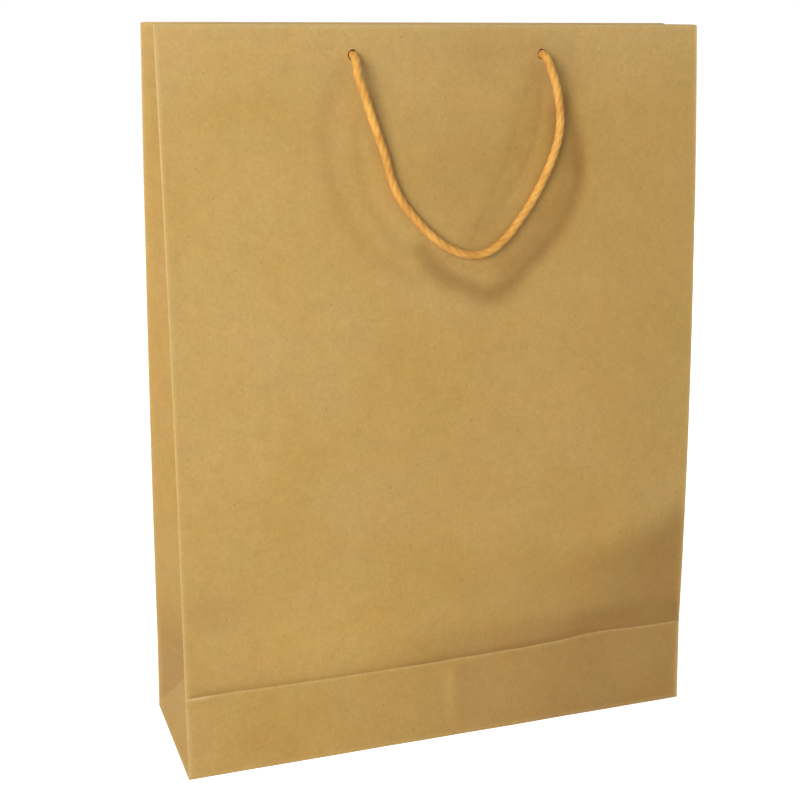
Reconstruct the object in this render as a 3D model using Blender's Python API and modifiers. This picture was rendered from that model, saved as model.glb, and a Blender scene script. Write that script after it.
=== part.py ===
"""Kraft paper carrier bag with a block bottom, side gussets, a turned-in top and a knotted cord handle.

Run with: blender --background --python part.py
The bag stands on Z = 0, centred on X = 0 and Y = 0, with its handle on the front, which faces -Y.
"""

import math

import bmesh
import bpy
import numpy as np
from mathutils import Matrix, Vector

# Sizes of the standing bag, in metres
WIDTH = 0.305  # fold to fold across the front
HEIGHT = 0.402  # floor to the folded top edge
BASE_DEPTH = 0.091  # front to back at the base, which is also the flat width of a gusset
MOUTH_DEPTH = 0.036  # front to back between the top edges
CREASE_HEIGHT = 0.047  # from the base fold to the score that goes round the bag, along the paper
CREASE_INSET = 0.0035  # how far each panel is drawn in at that score
STRAIGHT_LEAN = 0.214  # share of the panels' lean that is straight, the rest being a curve
PANEL_BOW = 0.004  # how far the middle of each panel stands proud of its folds

# Sheets and their layers
PAPER = 0.0003
CARD = 0.0005
BOARD = 0.0008
GAP = 0.0003  # between surfaces that touch
HEM_DEPTH = 0.040  # of the top that is turned in
TOP_FOLD = 0.0003  # height of the rounding along the top edge

# Base flaps and the glued seam
FLAP_OVERLAP = 0.018  # of the front flap over the rear one
SEAM_WIDTH = 0.018
SEAM_MARGIN = 0.003  # from the corner fold to the seam's near edge
SEAM_END = 0.001  # below the hem

# Card strips in the hem and the loose board in the base
STRIP_HEIGHT = 0.036
STRIP_TOP = 0.001  # below the top edge
STRIP_SIDE = 0.012  # short of each fold
BOARD_CLEARANCE = 0.0012  # to the walls round it
BOARD_CORNER = 0.003

# Punched holes, which go through both panels
HOLE_SPACING = 0.107
HOLE_DROP = 0.0155  # below the top edge
HOLE_DIAMETER = 0.0056
HANDLE_SHIFT = 0.0035  # of both holes to the right of the middle

# Handle cord
CORD_DIAMETER = 0.0046
CORD_SIDES = 2  # bevel resolution of the round section
CORD_STEP = 1.7  # diameters between the tube's points
CORD_LEAD = 0.8  # diameters of straight cord through each hole
KNOT_STEP = 0.8
KNOT_SLACK = 1.2  # how loosely the knots are drawn
KNOT_LEAD = 0.0003  # from the cord's end to the knot's beginning

# Finer or coarser folds
PANEL_COLUMNS = 10
WALL_LEVELS = 12
HOLE_SIDES = 24

# The hanging cord: metres right of the middle hole line, below the holes, and out from the panel's face
HANDLE_ROUTE = (
    (-0.0535, 0.0002, -0.0017),
    (-0.0535, 0.0002, 0.0016),
    (-0.0537, 0.0018, 0.0051),
    (-0.0540, 0.0052, 0.0075),
    (-0.0538, 0.0095, 0.0079),
    (-0.0520, 0.0145, 0.0074),
    (-0.0490, 0.0220, 0.0062),
    (-0.0461, 0.0310, 0.0050),
    (-0.0424, 0.0410, 0.0040),
    (-0.0387, 0.0520, 0.0032),
    (-0.0361, 0.0620, 0.0028),
    (-0.0320, 0.0720, 0.0027),
    (-0.0256, 0.0810, 0.0027),
    (-0.0170, 0.0905, 0.0027),
    (-0.0080, 0.0980, 0.0027),
    (0.0020, 0.1030, 0.0027),
    (0.0110, 0.1045, 0.0027),
    (0.0200, 0.1025, 0.0027),
    (0.0290, 0.0960, 0.0027),
    (0.0370, 0.0870, 0.0027),
    (0.0440, 0.0780, 0.0027),
    (0.0509, 0.0670, 0.0028),
    (0.0565, 0.0560, 0.0031),
    (0.0604, 0.0450, 0.0037),
    (0.0615, 0.0355, 0.0047),
    (0.0606, 0.0255, 0.0060),
    (0.0580, 0.0155, 0.0074),
    (0.0558, 0.0095, 0.0079),
    (0.0545, 0.0052, 0.0075),
    (0.0537, 0.0018, 0.0051),
    (0.0535, 0.0002, 0.0016),
    (0.0535, 0.0002, -0.0017),
)

# An overhand knot, in cord diameters: to the right, into the bag, and up
KNOT_ROUTE = (
    (0.0, 0.0, 0.0),
    (0.0, 0.5, 0.0),
    (0.1, 1.3, -0.2),
    (0.0, 2.0, -0.3),
    (-0.5, 2.4, -0.4),
    (-1.2, 2.4, -0.5),
    (-1.8, 1.9, -0.8),
    (-1.8, 1.2, -1.0),
    (-1.1, 0.6, -1.2),
    (-0.1, 0.5, -1.2),
    (0.7, 0.5, -0.9),
    (1.1, 0.7, -0.2),
    (0.8, 0.9, 0.5),
    (0.2, 1.2, 0.8),
    (-0.5, 1.3, 0.6),
    (-0.9, 1.4, -0.1),
    (-0.8, 1.6, -1.0),
    (-0.7, 1.7, -2.0),
    (-0.8, 1.8, -3.0),
    (-1.0, 1.9, -3.9),
)

# Layers counted from the outer face: how far in the hem's own face lies, on the panels and on the gussets
PANEL_STACK = 2 * PAPER + 2 * GAP + CARD
GUSSET_STACK = 2 * PAPER + GAP
BASE_LIFT = 2 * PAPER  # two flaps lie under the base sheet


# Outline of the standing bag


def crease_level():
    """Height of the score's ends on the corner folds."""
    return BASE_LIFT + math.sqrt(CREASE_HEIGHT**2 - CREASE_INSET**2)


def half_depth(z):
    """Half of the bag's depth between its corner folds, at a height."""
    at_crease = BASE_DEPTH / 2 - CREASE_INSET
    low = crease_level()
    if z <= low:
        return BASE_DEPTH / 2 - CREASE_INSET * max(z - BASE_LIFT, 0) / (low - BASE_LIFT)
    share = (z - low) / (HEIGHT - low)
    lean = STRAIGHT_LEAN * share + (1 - STRAIGHT_LEAN) * share**2
    return at_crease + (MOUTH_DEPTH / 2 - at_crease) * lean


def gusset_push(z):
    """How far in the gusset's centre fold lies, where the paper keeps its width."""
    return math.sqrt(max((BASE_DEPTH / 2) ** 2 - half_depth(z) ** 2, 0))


def bow(x, z):
    """How far a panel stands proud of its corner folds: nothing at the score, the folds and the card strips."""
    low, high = crease_level(), HEIGHT - HEM_DEPTH
    share = min(max((z - low) / (high - low), 0), 1)
    return PANEL_BOW * 4 * share * (1 - share) * (1 - (2 * x / WIDTH) ** 2)


def panel_face(x, z):
    """Distance of a panel's outer face from the middle plane."""
    return half_depth(z) + bow(x, z)


def outline(z, push):
    """The bag's outer line at a height, anticlockwise from the front left fold."""
    across = [WIDTH * (k / PANEL_COLUMNS - 0.5) for k in range(PANEL_COLUMNS + 1)]
    front = [(x, -panel_face(x, z)) for x in across]
    back = [(x, panel_face(x, z)) for x in reversed(across)]
    return front + [(WIDTH / 2 - push, 0)] + back + [(push - WIDTH / 2, 0)]


def inset(points, panel, gusset):
    """The same line moved inwards, by one distance along the panels and another along the gussets."""
    count = len(points)
    corners = [Vector(p) for p in points]
    moves = []
    for k in range(count):
        along = (corners[(k + 1) % count] - corners[k]).normalized()
        on_panel = k < PANEL_COLUMNS or PANEL_COLUMNS + 2 <= k < 2 * PANEL_COLUMNS + 2
        moves.append((Vector((-along.y, along.x)), panel if on_panel else gusset))
    moved = []
    for k in range(count):
        (before, first), (after, second) = moves[k - 1], moves[k]
        turn = before.x * after.y - before.y * after.x
        if abs(turn) < 1e-4:
            shift = after * second
        else:
            shift = Vector((first * after.y - second * before.y, second * before.x - first * after.x)) / turn
        moved.append(tuple(corners[k] + shift))
    return moved


# Helpers for meshes, modifiers and materials


def collection(name):
    made = bpy.data.collections.new(name)
    bpy.context.scene.collection.children.link(made)
    return made


def paper_material(name, colour, roughness, metallic=0.0):
    material = bpy.data.materials.new(name)
    material.use_nodes = True
    shader = material.node_tree.nodes["Principled BSDF"]
    shader.inputs["Base Color"].default_value = (*colour, 1)
    shader.inputs["Roughness"].default_value = roughness
    shader.inputs["Metallic"].default_value = metallic
    return material


def kraft_paper():
    return paper_material("kraft_paper", (0.52, 0.32, 0.09), 0.72)


def grey_card(name):
    return paper_material(name, (0.42, 0.37, 0.30), 0.85)


def orange_cord(name):
    return paper_material(name, (0.84, 0.38, 0.07), 0.62)


def add_object(name, bm, group, material=None):
    mesh = bpy.data.meshes.new(name)
    bm.to_mesh(mesh)
    bm.free()
    made = bpy.data.objects.new(name, mesh)
    group.objects.link(made)
    if material:
        mesh.materials.append(material)
    return made


def solidify(made, thickness, side):
    """Gives an open surface its thickness, behind the side that it faces with -1 or before it with 1."""
    modifier = made.modifiers.new("thickness", "SOLIDIFY")
    modifier.thickness = thickness
    modifier.offset = side
    modifier.use_even_offset = True
    modifier.use_quality_normals = True


def combine(made, other, operation):
    modifier = made.modifiers.new(f"{operation.lower()} {other.name}", "BOOLEAN")
    modifier.operation = operation
    modifier.object = other
    modifier.solver = "EXACT"


def hide_helper(made):
    made.hide_render = True
    made.display_type = "WIRE"


# The folded sheet


def extrude_ring(bm, ring, places):
    """Extrudes a closed ring of vertices to new places and gives the new ring in the same order."""
    edges = [bm.edges.get(pair) for pair in zip(ring, ring[1:] + ring[:1])]
    made = bmesh.ops.extrude_edge_only(bm, edges=edges)["geom"]
    fresh = {v for v in made if isinstance(v, bmesh.types.BMVert)}
    new_ring = [next(e.other_vert(v) for e in v.link_edges if e.other_vert(v) in fresh) for v in ring]
    for vertex, place in zip(new_ring, places):
        vertex.co = place
    return new_ring


def at_height(points, z):
    return [(x, y, z) for x, y in points]


def wall_levels():
    """Heights of the rings from the score up to the rounding of the top edge."""
    low, hem = crease_level(), HEIGHT - HEM_DEPTH
    lower = [low + (hem - low) * k / WALL_LEVELS for k in range(1, WALL_LEVELS + 1)]
    return lower + [HEIGHT - HEM_DEPTH / 2, HEIGHT - TOP_FOLD]


def folded_sheet():
    """The bag's outer surface as one sheet: base, walls, top fold and turned-in hem."""
    bm = bmesh.new()
    base = at_height(outline(0, 0), BASE_LIFT)
    ring = [bm.verts.new(p) for p in base]
    bm.faces.new(reversed(ring))
    bm.edges.ensure_lookup_table()

    # The centre of each gusset rises to where the diagonal folds from the base's corners meet
    low = crease_level()
    push = gusset_push(low)
    apex = BASE_LIFT + math.sqrt(max(CREASE_HEIGHT**2 - push**2, 0))
    score = at_height(outline(low, push), low)
    centres = (PANEL_COLUMNS + 1, 2 * PANEL_COLUMNS + 3)
    for k in centres:
        score[k] = (*score[k][:2], apex)
    base_ring = ring
    ring = extrude_ring(bm, ring, score)
    for k in centres:
        for corner in (k - 1, (k + 1) % len(ring)):
            face = next(f for f in ring[k].link_faces if base_ring[corner] in f.verts)
            bmesh.utils.face_split(face, ring[k], base_ring[corner])

    for z in wall_levels():
        ring = extrude_ring(bm, ring, at_height(outline(z, gusset_push(z)), z))

    # Over the top edge and down inside
    top = outline(HEIGHT, gusset_push(HEIGHT))
    for share in (0.25, 0.75):
        turned = inset(top, share * PANEL_STACK, share * GUSSET_STACK)
        ring = extrude_ring(bm, ring, at_height(turned, HEIGHT))
    for z in (HEIGHT - TOP_FOLD, HEIGHT - HEM_DEPTH / 2, HEIGHT - HEM_DEPTH):
        turned = inset(outline(z, gusset_push(z)), PANEL_STACK, GUSSET_STACK)
        ring = extrude_ring(bm, ring, at_height(turned, z))
    bmesh.ops.recalc_face_normals(bm, faces=bm.faces)
    under = min(bm.faces, key=lambda f: f.calc_center_median().z)
    if under.normal.z > 0:
        bmesh.ops.reverse_faces(bm, faces=bm.faces)
    return bm


def base_flap(name, length, front, group):
    """A long bottom flap with ends cut at 45 degrees, folded in from the front or the rear fold."""
    side = -1 if front else 1
    fold = BASE_DEPTH / 2 - PAPER / 2
    reach = WIDTH / 2 - PAPER / 2
    end = fold - length
    corners = [(-reach, fold), (reach, fold), (reach - length, end), (length - reach, end)]
    bm = bmesh.new()
    face = bm.faces.new([bm.verts.new((x, side * y, 0)) for x, y in corners])
    made = bmesh.ops.extrude_face_region(bm, geom=[face])["geom"]
    top = [v for v in made if isinstance(v, bmesh.types.BMVert)]
    bmesh.ops.translate(bm, verts=top, vec=(0, 0, BASE_LIFT + PAPER / 2))
    if not front:
        # The rear flap climbs from the floor over its own thickness, to pass above the front flap
        climbing = [v for v in bm.verts if v not in top and abs(v.co.y) < fold - GAP]
        for vertex in climbing:
            vertex.co.z = PAPER
    bmesh.ops.recalc_face_normals(bm, faces=bm.faces)
    flap = add_object(name, bm, group)
    hide_helper(flap)
    return flap


def seam_tab(group):
    """The glued tab of the tube's seam, inside the back panel beside its right-hand fold."""
    bm = bmesh.new()
    columns = 3
    right = WIDTH / 2 - SEAM_MARGIN
    across = [right - SEAM_WIDTH * k / columns for k in range(columns + 1)]
    top = HEIGHT - HEM_DEPTH - SEAM_END
    low = BASE_LIFT + PAPER / 2
    levels = [low, crease_level()] + [z for z in wall_levels() if z < top] + [top]
    rows = [[bm.verts.new((x, panel_face(x, z) - PAPER / 2, z)) for x in across] for z in levels]
    for lower, upper in zip(rows, rows[1:]):
        for k in range(columns):
            bm.faces.new((lower[k], lower[k + 1], upper[k + 1], upper[k]))
    tab = add_object("seam_tab", bm, group)
    solidify(tab, 1.5 * PAPER, -1)
    hide_helper(tab)
    return tab


def hole_cutters(group):
    """One straight punch for each pair of holes, through both panels."""
    cutters = []
    for name, side in (("left_punch", -1), ("right_punch", 1)):
        bm = bmesh.new()
        bmesh.ops.create_cone(
            bm,
            cap_ends=True,
            segments=HOLE_SIDES,
            radius1=HOLE_DIAMETER / 2,
            radius2=HOLE_DIAMETER / 2,
            depth=BASE_DEPTH,
            matrix=Matrix.Translation(hole_centre(side)) @ Matrix.Rotation(math.pi / 2, 4, "X"),
        )
        cutter = add_object(name, bm, group)
        hide_helper(cutter)
        cutters.append(cutter)
    return cutters


def hole_centre(side):
    return Vector((HANDLE_SHIFT + side * HOLE_SPACING / 2, 0, HEIGHT - HOLE_DROP))


def bag_body(parts, helpers, punches):
    body = add_object("bag_body", folded_sheet(), parts, kraft_paper())
    solidify(body, PAPER, -1)
    half_overlap = FLAP_OVERLAP / 2
    combine(body, base_flap("rear_flap", BASE_DEPTH / 2 + half_overlap, False, helpers), "UNION")
    combine(body, base_flap("front_flap", BASE_DEPTH / 2 + half_overlap, True, helpers), "UNION")
    combine(body, seam_tab(helpers), "UNION")
    for punch in punches:
        combine(body, punch, "DIFFERENCE")
    return body


# Card pieces inside


def top_strip(name, side, parts, punches):
    """A card strip between a panel and its hem, which keeps the top edge straight round the holes."""
    bm = bmesh.new()
    reach = WIDTH / 2 - STRIP_SIDE
    top = HEIGHT - STRIP_TOP
    rows = []
    for share in (0, 0.5, 1):
        z = top - STRIP_HEIGHT * share
        y = side * (half_depth(z) - PAPER - GAP)
        rows.append([bm.verts.new((x, y, z)) for x in (-side * reach, side * reach)])
    for upper, lower in zip(rows, rows[1:]):
        bm.faces.new((lower[1], lower[0], upper[0], upper[1]))
    bmesh.ops.recalc_face_normals(bm, faces=bm.faces)
    if bm.faces[:][0].normal.y * side < 0:
        bmesh.ops.reverse_faces(bm, faces=bm.faces)
    strip = add_object(name, bm, parts, grey_card(name))
    solidify(strip, CARD, -1)
    for punch in punches:
        combine(strip, punch, "DIFFERENCE")
    return strip


def base_board(parts):
    """The loose board that keeps the base flat."""
    long = WIDTH - 2 * (PAPER + BOARD_CLEARANCE)
    wide = BASE_DEPTH - 2 * (PAPER + BOARD_CLEARANCE)
    bm = bmesh.new()
    bmesh.ops.create_cube(bm, size=1, matrix=Matrix.Diagonal((long, wide, BOARD, 1)))
    upright = [e for e in bm.edges if abs(e.verts[0].co.z - e.verts[1].co.z) > BOARD / 2]
    bmesh.ops.bevel(
        bm,
        geom=upright,
        offset=BOARD_CORNER,
        affect="EDGES",
        segments=4,
        profile=0.5,
        material=-1,
    )
    board = add_object("base_board", bm, parts, grey_card("base_board"))
    board.location.z = BASE_LIFT + PAPER + GAP + BOARD / 2
    return board


# Cord and knots


def smooth_path(points, step, lead):
    """Points at even steps along a smooth curve through a cord's route, with a short step at each end."""
    given = [Vector(p) for p in points]
    ends = [2 * given[0] - given[1], *given, 2 * given[-1] - given[-2]]
    dense = []
    for k in range(1, len(ends) - 2):
        p0, p1, p2, p3 = ends[k - 1 : k + 3]
        for u in np.linspace(0, 1, 12, endpoint=False):
            dense.append(
                0.5
                * (
                    2 * p1
                    + (p2 - p0) * u
                    + (2 * p0 - 5 * p1 + 4 * p2 - p3) * u**2
                    + (3 * p1 - p0 - 3 * p2 + p3) * u**3
                )
            )
    dense.append(given[-1])
    dense = np.array(dense)
    run = np.concatenate([[0], np.cumsum(np.linalg.norm(np.diff(dense, axis=0), axis=1))])
    middle = run[-1] - 2 * lead
    places = np.linspace(lead, run[-1] - lead, max(2, round(middle / step) + 1))
    places = np.concatenate([[0], places, [run[-1]]])
    return np.stack([np.interp(places, run, dense[:, k]) for k in range(3)], axis=1)


def tube(name, points, parts, material):
    curve = bpy.data.curves.new(name, "CURVE")
    curve.dimensions = "3D"
    curve.bevel_depth = CORD_DIAMETER / 2
    curve.bevel_resolution = CORD_SIDES
    curve.use_fill_caps = True
    spline = curve.splines.new("POLY")
    spline.points.add(len(points) - 1)
    for point, place in zip(spline.points, points):
        point.co = (*place, 1)
        point.radius = 1
    curve.materials.append(material)
    made = bpy.data.objects.new(name, curve)
    parts.objects.link(made)
    return made


def handle_cord(parts):
    """The handle's free length, from the hem's face at one hole to the hem's face at the other."""
    route = []
    for across, below, out in HANDLE_ROUTE:
        x = HANDLE_SHIFT + across
        z = HEIGHT - HOLE_DROP - below
        route.append((x, -panel_face(x, z) - out, z))
    points = smooth_path(route, CORD_STEP * CORD_DIAMETER, CORD_LEAD * CORD_DIAMETER)
    return tube("handle_cord", points, parts, orange_cord("handle_cord"))


def knot(name, end, parts):
    """An overhand knot drawn up against the hem, with its tail hanging down inside."""
    across, below, out = HANDLE_ROUTE[end]
    z = HEIGHT - HOLE_DROP - below
    start = Vector((HANDLE_SHIFT + across, KNOT_LEAD - half_depth(z) - out, z))
    size = CORD_DIAMETER * KNOT_SLACK
    route = [start + size * Vector(place) for place in KNOT_ROUTE]
    points = smooth_path(route, KNOT_STEP * CORD_DIAMETER, KNOT_STEP * CORD_DIAMETER / 2)
    return tube(name, points, parts, orange_cord(name))


def main():
    for old in list(bpy.data.objects):
        bpy.data.objects.remove(old)
    parts = collection("paper_carrier_bag")
    helpers = collection("cutters_and_flaps")
    punches = hole_cutters(helpers)
    bag_body(parts, helpers, punches)
    top_strip("front_top_strip", -1, parts, punches)
    top_strip("back_top_strip", 1, parts, punches)
    base_board(parts)
    handle_cord(parts)
    knot("left_knot", 0, parts)
    knot("right_knot", -1, parts)


main()
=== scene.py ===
"""Kraft paper carrier bag: the looks of its folded sheet, card pieces, base board and knotted rope handle.

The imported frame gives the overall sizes. Everything is in metres, with +Z up and the front panel facing -Y.
"""

import math

import bmesh
import bpy
import numpy as np
from bpy.props import FloatProperty, FloatVectorProperty, IntProperty, PointerProperty
from mathutils import Matrix, Vector, noise


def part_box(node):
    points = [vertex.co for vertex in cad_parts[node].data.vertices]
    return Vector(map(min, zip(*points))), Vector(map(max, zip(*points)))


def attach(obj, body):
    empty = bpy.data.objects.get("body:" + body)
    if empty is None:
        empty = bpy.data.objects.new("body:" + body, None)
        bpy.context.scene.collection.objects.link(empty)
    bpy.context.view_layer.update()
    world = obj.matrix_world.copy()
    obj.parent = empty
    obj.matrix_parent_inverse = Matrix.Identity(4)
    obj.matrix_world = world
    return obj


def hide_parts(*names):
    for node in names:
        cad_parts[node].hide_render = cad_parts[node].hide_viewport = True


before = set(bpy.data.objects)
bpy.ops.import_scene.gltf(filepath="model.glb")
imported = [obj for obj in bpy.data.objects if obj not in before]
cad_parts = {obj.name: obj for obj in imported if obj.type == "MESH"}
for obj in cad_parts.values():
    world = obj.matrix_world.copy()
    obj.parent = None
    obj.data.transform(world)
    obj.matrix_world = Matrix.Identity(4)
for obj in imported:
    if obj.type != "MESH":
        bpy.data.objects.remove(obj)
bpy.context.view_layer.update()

bl_info = {
    "name": "Kraft Paper Carrier Bag",
    "version": (1, 0, 0),
    "blender": (4, 5, 0),
    "location": "View3D > Sidebar > Carrier Bag",
    "description": "Folded kraft sheet, card, board and knotted rope handle of a carrier bag",
    "category": "Add Mesh",
}

# Overall sizes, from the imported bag
BAG_LOW, BAG_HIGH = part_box("bag_body")
WIDTH = BAG_HIGH.x - BAG_LOW.x
BASE_DEPTH = BAG_HIGH.y - BAG_LOW.y
HEIGHT = BAG_HIGH.z

# Sides of the bag in the order in which a ring goes round them, anticlockwise seen from above
FRONT, RIGHT_FRONT, RIGHT_BACK, BACK, LEFT_BACK, LEFT_FRONT = range(6)
GUSSETS_FROM_FOLD = (RIGHT_FRONT, LEFT_BACK)

# The hanging cord: metres right of the middle hole line, below the holes, and out from the panel's face
HANDLE_ROUTE = (
    (-0.0535, 0.0002, -0.0017), (-0.0535, 0.0002, 0.0016), (-0.0537, 0.0018, 0.0051),
    (-0.0540, 0.0052, 0.0075), (-0.0538, 0.0095, 0.0079), (-0.0520, 0.0145, 0.0074),
    (-0.0490, 0.0220, 0.0062), (-0.0461, 0.0310, 0.0050), (-0.0424, 0.0410, 0.0040),
    (-0.0387, 0.0520, 0.0032), (-0.0361, 0.0620, 0.0028), (-0.0320, 0.0720, 0.0027),
    (-0.0256, 0.0810, 0.0027), (-0.0170, 0.0905, 0.0027), (-0.0080, 0.0980, 0.0027),
    (0.0020, 0.1030, 0.0027), (0.0110, 0.1045, 0.0027), (0.0200, 0.1025, 0.0027),
    (0.0290, 0.0960, 0.0027), (0.0370, 0.0870, 0.0027), (0.0440, 0.0780, 0.0027),
    (0.0509, 0.0670, 0.0028), (0.0565, 0.0560, 0.0031), (0.0604, 0.0450, 0.0037),
    (0.0615, 0.0355, 0.0047), (0.0606, 0.0255, 0.0060), (0.0580, 0.0155, 0.0074),
    (0.0558, 0.0095, 0.0079), (0.0545, 0.0052, 0.0075), (0.0537, 0.0018, 0.0051),
    (0.0535, 0.0002, 0.0016), (0.0535, 0.0002, -0.0017),
)

# An overhand knot, in cord diameters: to the right, into the bag, and up
KNOT_ROUTE = (
    (0.0, 0.0, 0.0), (0.0, 0.5, 0.0), (0.1, 1.3, -0.2), (0.0, 2.0, -0.3), (-0.5, 2.4, -0.4),
    (-1.2, 2.4, -0.5), (-1.8, 1.9, -0.8), (-1.8, 1.2, -1.0), (-1.1, 0.6, -1.2),
    (-0.1, 0.5, -1.2), (0.7, 0.5, -0.9), (1.1, 0.7, -0.2), (0.8, 0.9, 0.5), (0.2, 1.2, 0.8),
    (-0.5, 1.3, 0.6), (-0.9, 1.4, -0.1), (-0.8, 1.6, -1.0), (-0.7, 1.7, -2.0),
    (-0.8, 1.8, -3.0), (-1.0, 1.9, -3.9),
)

# Where the handle was pressed into the front panel while the bag lay flat: right of the middle hole line and
# below the holes
OUTER_PRINT = (
    (0.0673, 0.0250), (0.0713, 0.0356), (0.0741, 0.0491), (0.0751, 0.0625), (0.0712, 0.0786),
    (0.0631, 0.0919), (0.0533, 0.1029), (0.0435, 0.1122), (0.0350, 0.1205), (0.0259, 0.1254),
    (0.0170, 0.1260), (0.0065, 0.1216), (-0.0033, 0.1162), (-0.0113, 0.1099), (-0.0179, 0.1016),
)
# A broad, shallow band beside the cord's right leg that mostly carries painted shade
RIGHT_SHADE_BAND = (
    (0.0635, 0.0328), (0.0667, 0.0516), (0.0640, 0.0703), (0.0553, 0.0861), (0.0430, 0.1008),
    (0.0296, 0.1137),
)
INNER_PRINT = (
    (-0.0054, 0.1048), (0.0015, 0.1092), (0.0101, 0.1124), (0.0201, 0.1129), (0.0291, 0.1085),
    (0.0376, 0.1025),
)
LEFT_PRINT = (
    (-0.0593, 0.0061), (-0.0645, 0.0156), (-0.0680, 0.0255), (-0.0702, 0.0380),
    (-0.0688, 0.0532), (-0.0651, 0.0685), (-0.0597, 0.0826), (-0.0508, 0.0948),
    (-0.0394, 0.1053), (-0.0278, 0.1122), (-0.0148, 0.1156),
)
LEFT_INNER_PRINT = (
    (-0.0527, 0.0333), (-0.0522, 0.0460), (-0.0511, 0.0587), (-0.0468, 0.0743),
    (-0.0395, 0.0875), (-0.0309, 0.0989), (-0.0203, 0.1073), (-0.0102, 0.1126),
)
SLANTED_PRINT = (
    (0.0441, 0.0168), (0.0403, 0.0298), (0.0351, 0.0455), (0.0301, 0.0585), (0.0220, 0.0741),
    (0.0098, 0.0965),
)
SECOND_SLANTED_PRINT = (
    (0.0524, 0.0142), (0.0502, 0.0352), (0.0451, 0.0510), (0.0364, 0.0667), (0.0284, 0.0786),
)
# A broad, shallow band of painted shade between the slanted prints
SLANTED_SHADE_BAND = (
    (0.0501, 0.0090), (0.0406, 0.0403), (0.0299, 0.0664), (0.0170, 0.0899),
)

# Right of the middle and above the floor: the ridge of the soft swell at the lower right of the front panel
SWELL_RIDGE = (
    (0.006, 0.115), (0.031, 0.119), (0.056, 0.118), (0.082, 0.118), (0.101, 0.120),
    (0.121, 0.123), (0.135, 0.129), (0.145, 0.136),
)

# Soft patches on the front: their middle (right of the panel's middle and above the score), their reach
# across and up, and how much they darken the paper. The last darkens by less than 0: painted light at the
# lower left.
TONE_PATCHES = (
    (-0.137, 0.048, 0.018, 0.012, 0.28),
    (0.020, 0.3405, 0.030, 0.016, 0.26),
    (0.066, 0.3305, 0.014, 0.020, 0.30),
    (0.010, 0.2785, 0.028, 0.034, 0.24),
    (-0.072, 0.022, 0.046, 0.030, -0.34),
)

# Each print's line, half width and depth, and how much it darkens the paper: painted shade in its groove and
# painted shadow of the cord beside it
HANDLE_PRINTS = (
    (OUTER_PRINT, 0.0052, 0.0010, 1.00),
    (RIGHT_SHADE_BAND, 0.0090, 0.0002, 0.62),
    (INNER_PRINT, 0.0022, 0.0003, 0.52),
    (LEFT_PRINT, 0.0044, 0.0003, 0.22),
    (LEFT_INNER_PRINT, 0.0024, 0.0003, 0.22),
    (SLANTED_PRINT, 0.0020, 0.0002, 0.62),
    (SECOND_SLANTED_PRINT, 0.0018, 0.0002, 0.56),
    (SLANTED_SHADE_BAND, 0.0100, 0.0001, 0.48),
)


# Sizes, colours and stage that a user may change


def metres(name, description, default):
    return FloatProperty(name=name, description=description, default=default, unit="LENGTH")


def portion(name, description, default):
    return FloatProperty(name=name, description=description, default=default, subtype="FACTOR", min=0, max=1)


def tint(name, description, *default):
    return FloatVectorProperty(name=name, description=description, default=default, subtype="COLOR", size=3)


def watts(name, description, default):
    return FloatProperty(name=name, description=description, default=default, unit="POWER")


class BagSizes(bpy.types.PropertyGroup):
    mouth_depth: metres("Mouth depth", "Front to back between the top edges", 0.036)
    crease_height: metres("Score height", "Along the paper from the base fold to the score", 0.047)
    crease_inset: metres("Score inset", "How far each panel is drawn in at the score", 0.0035)
    straight_lean: portion("Straight lean", "Share of the panels' lean that is straight", 0.214)
    panel_bow: metres("Panel bow", "How far the middle of each panel stands proud of its folds", 0.004)
    paper: metres("Paper", "Thickness of the paper", 0.0003)
    card: metres("Card", "Thickness of the strips in the hem", 0.0005)
    gap: metres("Gap", "Between surfaces that touch", 0.0003)
    hem_depth: metres("Hem depth", "Depth of the turned-in top", 0.040)
    flap_overlap: metres("Flap overlap", "Of the front base flap over the rear one", 0.018)
    seam_width: metres("Seam width", "Of the glued tab inside the back panel", 0.018)
    hole_spacing: metres("Hole spacing", "Between the middles of the two punched holes", 0.107)
    hole_drop: metres("Hole drop", "From the top edge to the holes' middle", 0.0155)
    hole_diameter: metres("Hole diameter", "Of each punched hole", 0.0056)
    handle_shift: metres("Handle shift", "Of both holes to the right of the middle", 0.0035)
    cord_diameter: metres("Cord diameter", "Over the crests of the strands", 0.0046)
    knot_slack: FloatProperty(name="Knot slack", description="How loosely the knots are drawn", default=1.2)
    strands: IntProperty(name="Strands", description="Twisted together in the cord", default=3, min=2, max=6)
    lay_length: metres("Lay length", "Along the cord for one turn of a strand", 0.0180)


class BagFinish(bpy.types.PropertyGroup):
    kraft: tint("Kraft", "Colour of the paper", 0.494, 0.304, 0.077)
    kraft_light: tint("Light kraft", "Colour of the paper's paler patches", 0.548, 0.368, 0.130)
    # Also the colour of the painted highlights along the folds, the score and the top edge
    worn_and_highlit: tint("Worn fold", "Colour of the rubbed fibres along the folds", 0.700, 0.500, 0.215)
    fleck: tint("Fleck", "Colour of the bark specks in the paper", 0.210, 0.118, 0.040)
    card: tint("Card", "Colour of the strips in the hem", 0.42, 0.37, 0.30)
    board: tint("Board", "Colour of the base board", 0.36, 0.27, 0.16)
    cord: tint("Cord", "Colour on the crests of the strands", 0.78, 0.395, 0.057)
    # Painted shade in the valleys between the strands
    cord_valley_shade: tint("Deep cord", "Colour between the strands", 0.60, 0.220, 0.026)
    roughness: portion("Paper roughness", "Of the paper's face", 0.68)


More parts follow.
